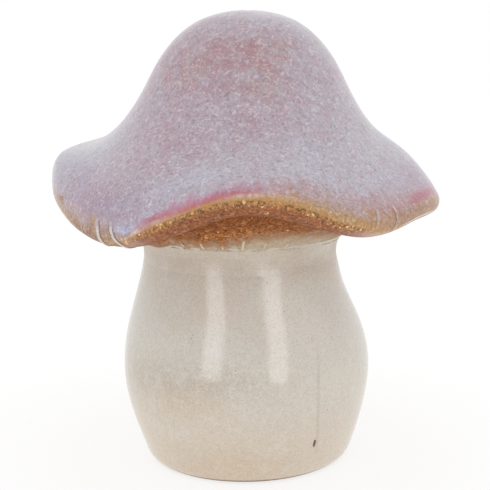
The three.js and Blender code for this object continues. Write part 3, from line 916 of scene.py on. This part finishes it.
def thinning_glaze(g, n, body):
    """Towards the lip the glaze thins through tan or rose to ochre, in tongues and runs down the cap."""
    beside_drip = g.band(n.aside, -3.8, -2.2, -1.1, -0.6) * n.drip
    tint = g.read("tint") + g.swing(n.run, 1.0) + g.swing(n.tongue, 0.9) + beside_drip * 0.7
    body = g.mix(g.between(tint, 0.0, 0.55), body, g.mix(n.rosy, *THINNED))
    body = g.mix(g.between(tint, 0.5, 1.05), body, g.mix(n.rosy, *OCHRES))
    broken = n.run + n.fine * 0.3 + g.swing(n.tongue, 0.2)
    red = g.read("streak") * g.between(broken, 0.3, 0.64)
    body = g.mix(red * 0.9, body, g.mix(g.between(n.past, -3.6, -1.6), *REDS))
    # Toasted brown on the lobes' lips, partly painted shade
    body = g.mix(n.toast, body, TOAST_AND_SHADE)
    amber_from = n.rosy * 3.2 - 4.2
    amber = g.between(n.past + g.swing(n.run, 1.6), amber_from, -0.3)
    body = g.mix(amber * (1.0 - n.pool), body, AMBER)
    # Pale lines at the glaze's edge, partly a painted highlight
    body = g.mix(g.read("pale_and_highlight") * g.between(n.run, 0.3, 0.6), body, PALE_AND_HIGHLIGHT_LINE)
    burn = g.read("burn") + g.swing(n.clump, 1.2)
    body = g.mix(g.between(burn, 0.45, 0.6), body, BURNT)
    # Light and dark grains all over, fainter where the glaze runs rosy or red
    even = g.math("MAXIMUM", n.rosy * g.between(tint, 0.2, 0.7), red)
    grainy = 1.0 - even * 0.7
    body = g.veil(body, LIGHT_GRAIN, grainy * 0.45, n.grain, 0.5, 0.66)
    return g.veil(body, DARK_GRAIN, grainy * 0.46, n.grain, 0.5, 0.34)


def rim_lines(g, n, glaze):
    """On the right lobe a painted highlight runs along the rim as a pale line between two dark ones."""
    along = g.read("along")
    shown = g.read("rim_line") * g.between(n.clump, 0.3, 0.5)
    above = g.band(along, -1.9, -1.6, -1.3, -1.1)
    below = g.between(along, -0.5, -0.2)
    # Painted highlight between the dark lines
    painted_highlight = g.band(along, -1.3, -1.0, -0.6, -0.4)
    glaze = g.mix(shown * (above + below) * 0.45, glaze, RIM_DARK)
    return g.mix(shown * painted_highlight * 0.6, glaze, RIM_HIGHLIGHT)


def brown_underside(g, n, inner, cream):
    """Brown, granular, with gold grains near the glaze and orange ones further in; and its large specks."""
    near = g.between(n.past, 3.0, 0.3)
    brown = g.mix(inner, *BROWNS)
    brown = g.veil(brown, WARM_BROWN, inner, cream, -9.0, -3.0)
    brown = g.mix(near, brown, GOLD_BROWN)
    brown = g.veil(brown, DEEP_BROWN, 0.75, n.fine, 0.5, 0.38)
    brown = g.veil(brown, ORANGE_GRAIN, 0.5, n.fine, 0.54, 0.66)
    coarse = g.noise(g.stretch(n.place, (1.0, 1.0, 1.6)), 820, 2, 0.6, 1.4)
    deep = inner * 0.35 + 0.25
    brown = g.veil(brown, DEEP_BROWN, deep, coarse, 0.5, 0.4)
    brown = g.veil(brown, PEACH_GRAIN, deep, coarse, 0.54, 0.64)
    # Painted shade behind the lip, further in on the left
    brown = g.mix(g.read("behind") * 0.42, brown, SHADED_BROWN)
    brown = g.veil(brown, EDGE_BROWN, near * 0.6, n.fine, 0.56, 0.46)
    lump = g.warp(n.place, 1000, 0.0012)
    small = g.specks(lump, 1400, 0.46, 0.92 - near * 0.5)
    large = g.specks(lump, 780, 0.42, 0.95 - near * 0.24)
    brown = g.mix(small * 0.7, brown, SMALL_SPECK)
    brown = g.mix(large * 0.9, brown, LARGE_SPECK)
    return g.mix(g.read("fair") * 0.8, brown, FAIR), large


def cream_underside(g, n, ragged):
    """Tan and then cream round the neck, with painted glints along the gills' crests."""
    cream = g.mix(g.between(ragged, 0.0, 6.5), *UNDER_TONES)
    cream = g.veil(cream, UNDER_LIGHT, 0.4, n.clump, 0.5, 0.68)
    cream = g.veil(cream, UNDER_GRAIN, 0.5, n.fine, 0.5, 0.36)
    crest = g.read("painted_glint") + g.swing(n.clump, 0.6)
    # Painted glints along the gills' crests
    return g.veil(cream, GILL_GLINT, 0.75, crest, 0.36, 0.72)


def drip_colours(g, n, shade):
    """A crest that turns from lilac to white on its way down, partly pooled glaze and partly a painted
    highlight, with painted shadow lines beside it.
    """
    low = g.between(n.past, -10.0, -7.0)
    across = g.math("ABSOLUTE", n.aside)
    crest = g.between(across, 0.95, 0.4) * n.drip * g.between(n.fine + n.clump, 0.7, 1.0)
    left = g.band(n.aside, -1.7, -1.25, -0.95, -0.7)
    right = g.band(n.aside, 0.7, 0.95, 1.2, 1.6)
    # Painted shadow lines beside the drips
    shadow_lines = (left * low + right * 0.6) * n.drip
    shade = g.mix(shadow_lines * 0.85, shade, DRIP_SHADOW_LINE)
    # Crests, partly pooled glaze and partly painted highlight
    return g.mix(crest * 0.72, shade, g.mix(low, *DRIP_CRESTS_AND_HIGHLIGHTS))


def cap_glaze():
    g = Glaze("reactive_glaze", 1.5)
    n = cap_noise(g)
    glaze = rim_lines(g, n, thinning_glaze(g, n, lilac_ground(g, n)))
    inner = g.between(n.past, 4.5, 9.0)
    cream = g.read("cream")
    brown, large = brown_underside(g, n, inner, cream)
    brown_share = g.between(n.past + g.swing(n.fine, 2.0), -0.3, 0.3)
    ragged = cream + g.swing(n.clump, 4.0) + g.swing(n.fine, 4.0)
    cream_share = g.between(ragged, -2.2, 1.6)
    shade = g.mix(brown_share, glaze, brown)
    shade = g.mix(cream_share, shade, cream_underside(g, n, ragged))
    shade = drip_colours(g, n, shade)

    # The brown inside mirrors less, and brown, cream and the toasted lips (partly painted shade) are drier
    # than the lilac
    gleam = 0.5 - (inner - cream_share) * 0.3
    g.put(g.shader.inputs["Specular IOR Level"], g.math("MINIMUM", gleam, 0.5))
    dry = (brown_share + cream_share + n.toast) * 0.3
    roughness = n.fine * 0.12 + 0.13 + dry
    height = n.grain * 0.6 + large * 0.25 + n.clump * 0.35
    return g.finish(shade, roughness, height, distance=0.0002, strength=0.2)


# Colours and layers of the glaze on stem and slip
CREAMS = colour(210, 196, 178), colour(206, 202, 193)
# Tan under the cap: painted shade and painted reflection of the brown cap
NECK_CREAM_IN_SHADE = colour(205, 193, 177)
# Darker glaze, and painted shade on the neck under the brim
DUSKY_AND_SHADE = colour(186, 175, 161)
# Paler glaze, and the painted highlight on the fillet
PALE_AND_HIGHLIGHT = colour(220, 213, 204)
WARM = colour(205, 184, 160)
CLOUD = colour(206, 192, 175)
CLUMP = colour(217, 211, 203)
MOTTLE_DARK = colour(176, 162, 144)
MOTTLE_LIGHT = colour(226, 219, 206)
CREAM_DARK = colour(174, 160, 143)
CREAM_LIGHT = colour(228, 221, 210)
IRON = colour(132, 108, 86)
SEAM = colour(168, 156, 142)
PIN_HOLE = colour(104, 70, 38)
STAINS = colour(112, 72, 42), colour(182, 138, 98)
# Bare clay, darkened partly as a painted contact shadow at the foot's edge
CLAYS_AND_SHADOW = colour(132, 102, 82), colour(162, 132, 108)


def cream_glaze(name):
    g = Glaze(name, 1.52)
    place = g.place()
    cloud = g.noise(place, 34, 3, 0.55, 0.4)
    clump = g.noise(place, 150, 3, 0.6, 0.2)
    mottle = g.noise(place, 620, 3, 0.6, 0.8)
    fine = g.noise(place, 1900, 3, 0.6)

    # Warmer towards the foot, greyer across the bulb, tan under the cap as painted shade and painted
    # reflection of the brown cap
    height = g.read("level") + g.swing(cloud, 30.0)
    base = g.mix(g.between(height, 4, 46), *CREAMS)
    base = g.mix(g.between(height, 50, 76), base, NECK_CREAM_IN_SHADE)
    broken = g.between(fine + g.swing(clump, 0.5), 0.65, 0.35)
    # Darker patches: a band across the bulb, and painted shade on the neck under the brim
    base = g.mix(g.read("dusky_and_shade") * (broken * 0.5 + 0.5), base, DUSKY_AND_SHADE)
    # Paler patches, one a painted highlight on the fillet at the right
    base = g.mix(g.read("pale_and_highlight") * 0.7, base, PALE_AND_HIGHLIGHT)
    base = g.mix(g.read("warm") * 0.7, base, WARM)
    base = g.veil(base, CLOUD, 0.4, cloud, 0.5, 0.72)
    base = g.veil(base, CLUMP, 0.3, clump, 0.52, 0.7)
    base = g.veil(base, MOTTLE_DARK, 0.09, mottle, 0.5, 0.36)
    base = g.veil(base, MOTTLE_LIGHT, 0.15, mottle, 0.5, 0.64)
    base = g.veil(base, CREAM_DARK, 0.34, fine, 0.5, 0.36)
    base = g.veil(base, CREAM_LIGHT, 0.26, fine, 0.55, 0.7)

    # Fine iron specks all over, the seam, the larger specks and pin-hole that the mesh places, the brown
    # that has run onto the slip, and the bare clay of the foot, darkened partly as a painted contact shadow
    base = g.mix(g.specks(place, 300, 0.1, 0.86) * 0.5, base, IRON)
    base = g.mix(g.read("seam") * 0.34, base, SEAM)
    base = g.mix(g.between(g.read("pit"), 0.25, 0.6), base, PIN_HOLE)
    stain = g.between(g.read("stain") + g.swing(fine, 0.8), 0.3, 0.6)
    base = g.mix(stain, base, g.mix(fine, *STAINS))
    bare = g.read("bare")
    # Bare clay, partly a painted contact shadow
    base = g.mix(bare, base, g.mix(g.between(fine, 0.35, 0.7), *CLAYS_AND_SHADOW))
    dry = bare * 0.6 + g.read("dull") * 0.4
    roughness = clump * 0.1 + 0.09 + dry
    return g.finish(base, roughness, clump + fine * 0.25, distance=0.00008, strength=0.4)


pieces = [
    (build_cap(), "cap", "cap_glaze", cap_glaze()),
    (build_stem(), "stem", "stem_glaze", cream_glaze("cream_glaze")),
    (build_slip(), "luting_slip", "slip", cream_glaze("slip_glaze")),
]
for piece, node, slot, material in pieces:
    piece.data.materials.append(material)
    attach(piece, "root")
    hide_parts(node)

# Floor, light and camera, in metres
FLOOR_HALF, FLOOR_GREY, FLOOR_GLOW = 4.0, 0.3, 0.72
STRIP_DISTANCE, STRIP_HEIGHT, STRIP_LEAN, STRIP_STRENGTH = 0.30, 0.33, 16, 3.0
SURROUND_STRENGTH = 1.0
CAMERA_PLACE, CAMERA_TARGET = (0, -0.340, 0.127), (-0.0005, 0, 0.0717)
CAMERA_LENS, CAMERA_SENSOR, CAMERA_CLIP = 74.2, 36, 0.01

# Lamps: name, bearing, roll and width
STRIPS = [("strip_left", -27.5, 4, 0.095), ("strip_right", 31.5, 11, 0.092)]


def build_floor():
    mesh = bpy.data.meshes.new("floor")
    corners = [(-1, -1), (1, -1), (1, 1), (-1, 1)]
    mesh.from_pydata([(x * FLOOR_HALF, y * FLOOR_HALF, 0) for x, y in corners], [], [(0, 1, 2, 3)])
    floor = bpy.data.objects.new("floor", mesh)
    bpy.context.collection.objects.link(floor)
    material = bpy.data.materials.new("white_paper")
    material.use_nodes = True
    shader = material.node_tree.nodes["Principled BSDF"]
    paper = {
        "Base Color": (FLOOR_GREY, FLOOR_GREY, FLOOR_GREY, 1),
        "Roughness": 1.0,
        "Specular IOR Level": 0.0,
        "Emission Color": (1, 1, 1, 1),
        "Emission Strength": FLOOR_GLOW,
    }
    for key, value in paper.items():
        shader.inputs[key].default_value = value
    mesh.materials.append(material)


def strip_light(name, bearing, roll, width, receivers):
    """A tall soft light at the front, leaning over, seen as an upright streak on the glossy stem."""
    lean, turn = radians(STRIP_LEAN), radians(bearing)
    lamp = bpy.data.lights.new(name, "AREA")
    lamp.shape = "RECTANGLE"
    lamp.size, lamp.size_y = width, STRIP_HEIGHT
    lamp.energy = STRIP_STRENGTH * pi * width * STRIP_HEIGHT
    light = bpy.data.objects.new(name, lamp)
    bpy.context.collection.objects.link(light)
    middle = STRIP_HEIGHT / 2 * cos(lean)
    light.location = (STRIP_DISTANCE * sin(turn), -STRIP_DISTANCE * cos(turn), middle)
    facing = Matrix.Rotation(turn, 3, "Z") @ Matrix.Rotation(pi / 2 - lean, 3, "X")
    light.rotation_euler = (facing @ Matrix.Rotation(-radians(roll), 3, "Z")).to_euler()
    light.visible_diffuse = False
    light.visible_camera = False
    light.light_linking.receiver_collection = receivers


def white_surround():
    world = bpy.data.worlds.new("white_tent")
    world.use_nodes = True
    background = world.node_tree.nodes["Background"]
    background.inputs["Color"].default_value = (1, 1, 1, 1)
    background.inputs["Strength"].default_value = SURROUND_STRENGTH
    return world


def build_camera():
    data = bpy.data.cameras.new("camera")
    data.lens, data.sensor_width, data.clip_start = CAMERA_LENS, CAMERA_SENSOR, CAMERA_CLIP
    camera = bpy.data.objects.new("camera", data)
    bpy.context.collection.objects.link(camera)
    camera.location = CAMERA_PLACE
    look = Vector(CAMERA_TARGET) - camera.location
    camera.rotation_euler = look.to_track_quat("-Z", "Y").to_euler()
    return camera


build_floor()
# The lamps shine on stem and slip only: seen from behind, they would burn the edge of the brim to white
glossy_pieces = bpy.data.collections.new("glossy_pieces")
for piece, *_ in pieces[1:]:
    glossy_pieces.objects.link(piece)
for strip in STRIPS:
    strip_light(*strip, glossy_pieces)
scene = bpy.context.scene
scene.world = white_surround()
scene.view_settings.view_transform = "Standard"
scene.camera = build_camera()
